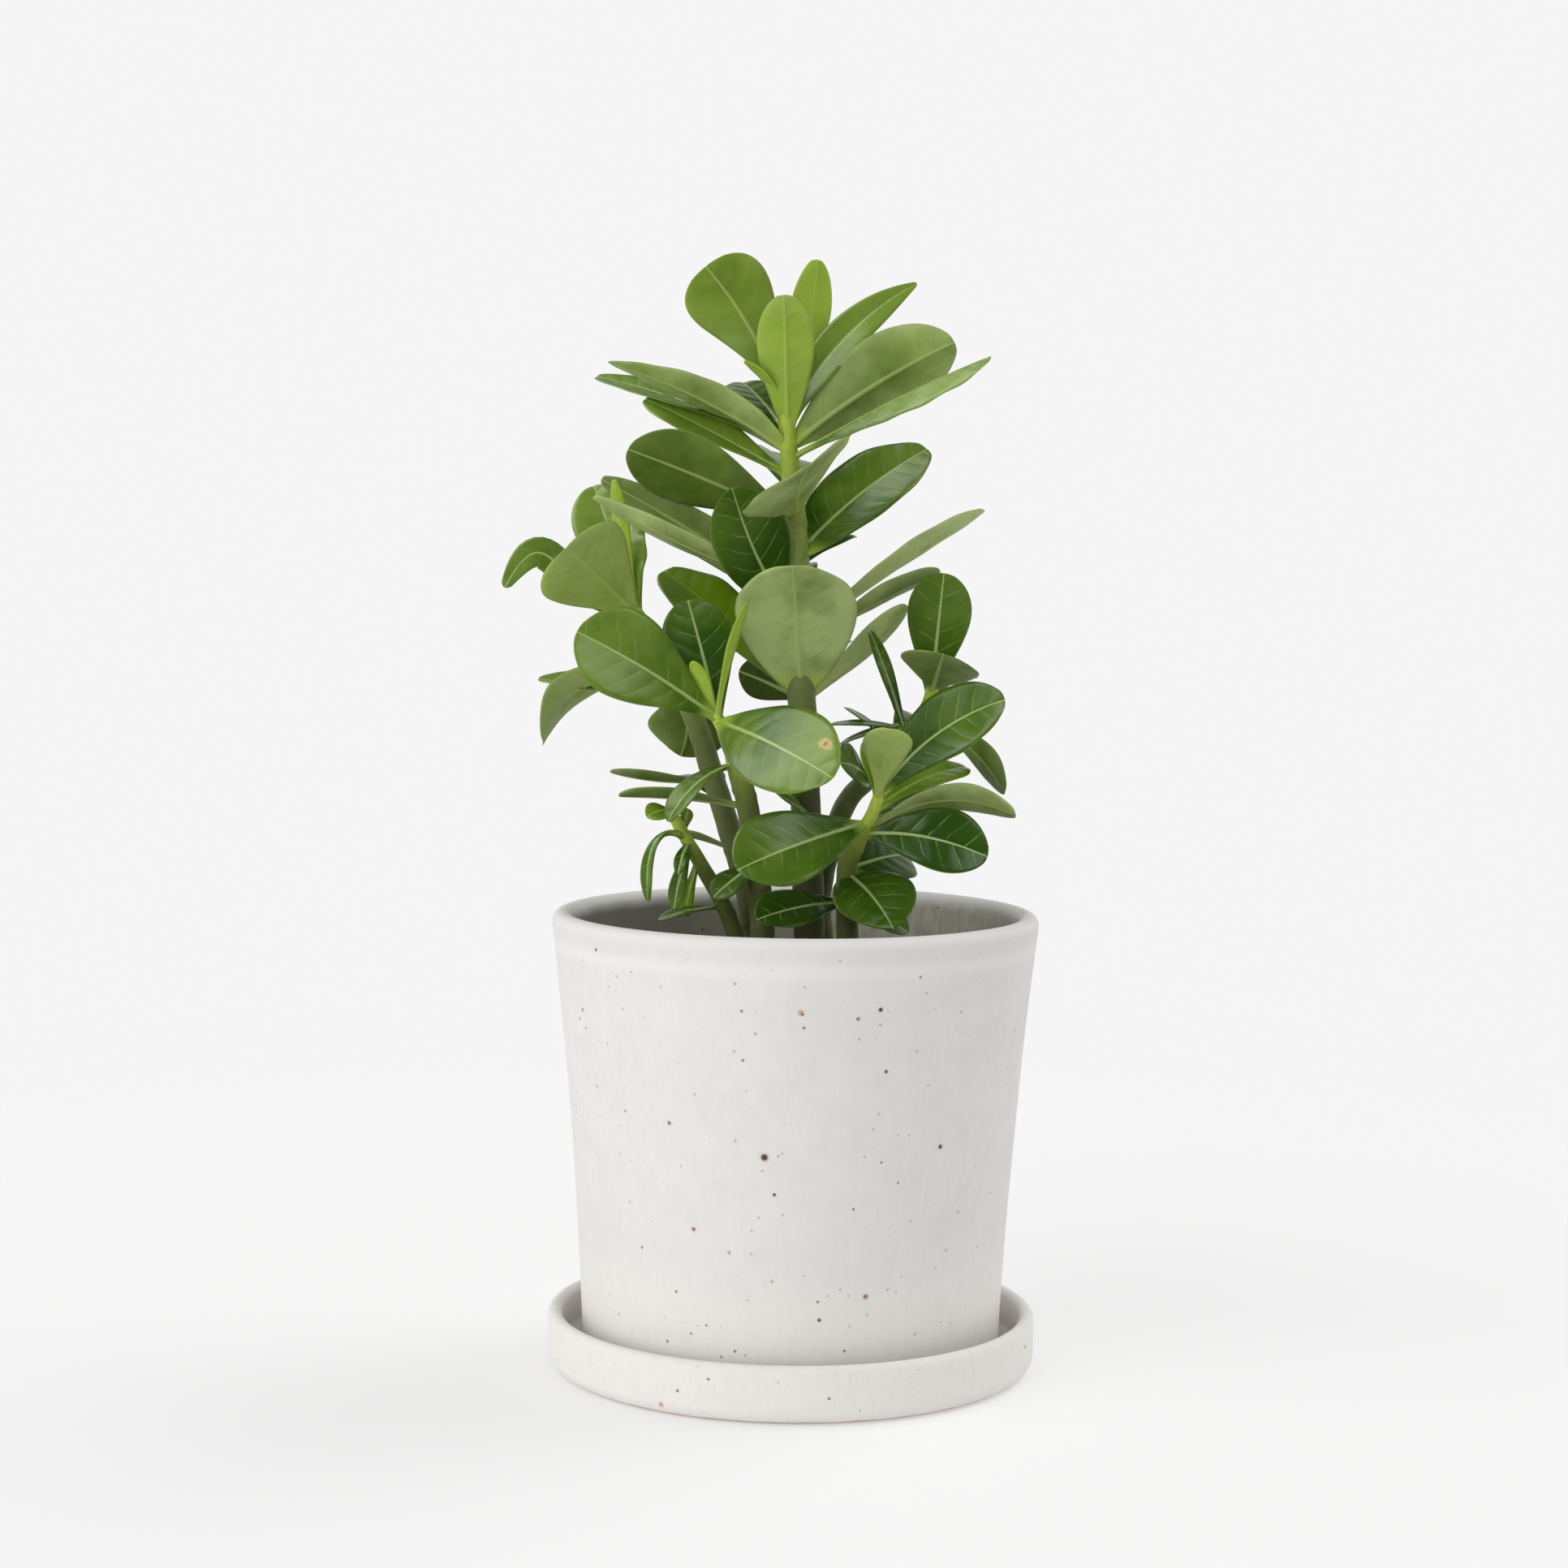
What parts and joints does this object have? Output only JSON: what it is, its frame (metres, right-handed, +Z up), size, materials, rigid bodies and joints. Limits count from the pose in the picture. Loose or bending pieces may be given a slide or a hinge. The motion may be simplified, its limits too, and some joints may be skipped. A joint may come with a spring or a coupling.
{
  "type": "potted desert rose",
  "caption": "Leafy young desert rose with several stems on a swollen woody base, in soil in a speckled off-white stoneware pot that stands on its own saucer.",
  "frame": {"origin": "middle of the saucer's flat underside, on the axis of the pot", "axes": "+Z up along the pot's axis; -Y is the front, as in the picture; +X to the right seen from the front"},
  "size_m": [0.1668, 0.1516, 0.3425],
  "materials": {
    "stoneware": "matt warm white stoneware with faint mottling and sparse brown and orange iron specks",
    "soil": "dark crumbly potting mix with pale grit",
    "bark": "smooth grey-brown bark, matt",
    "foliage": "glossy dark green leaves with pale midribs and matt olive undersides on grey-green stems"
  },
  "bodies": {
    "root": {"saucer": "stoneware", "pot": "stoneware", "soil": "soil", "caudex": "bark", "leader": "foliage", "front_left": "foliage", "back_left": "foliage", "low_left": "foliage", "front_right": "foliage", "back_right": "foliage"}
  },
  "joints": []
}
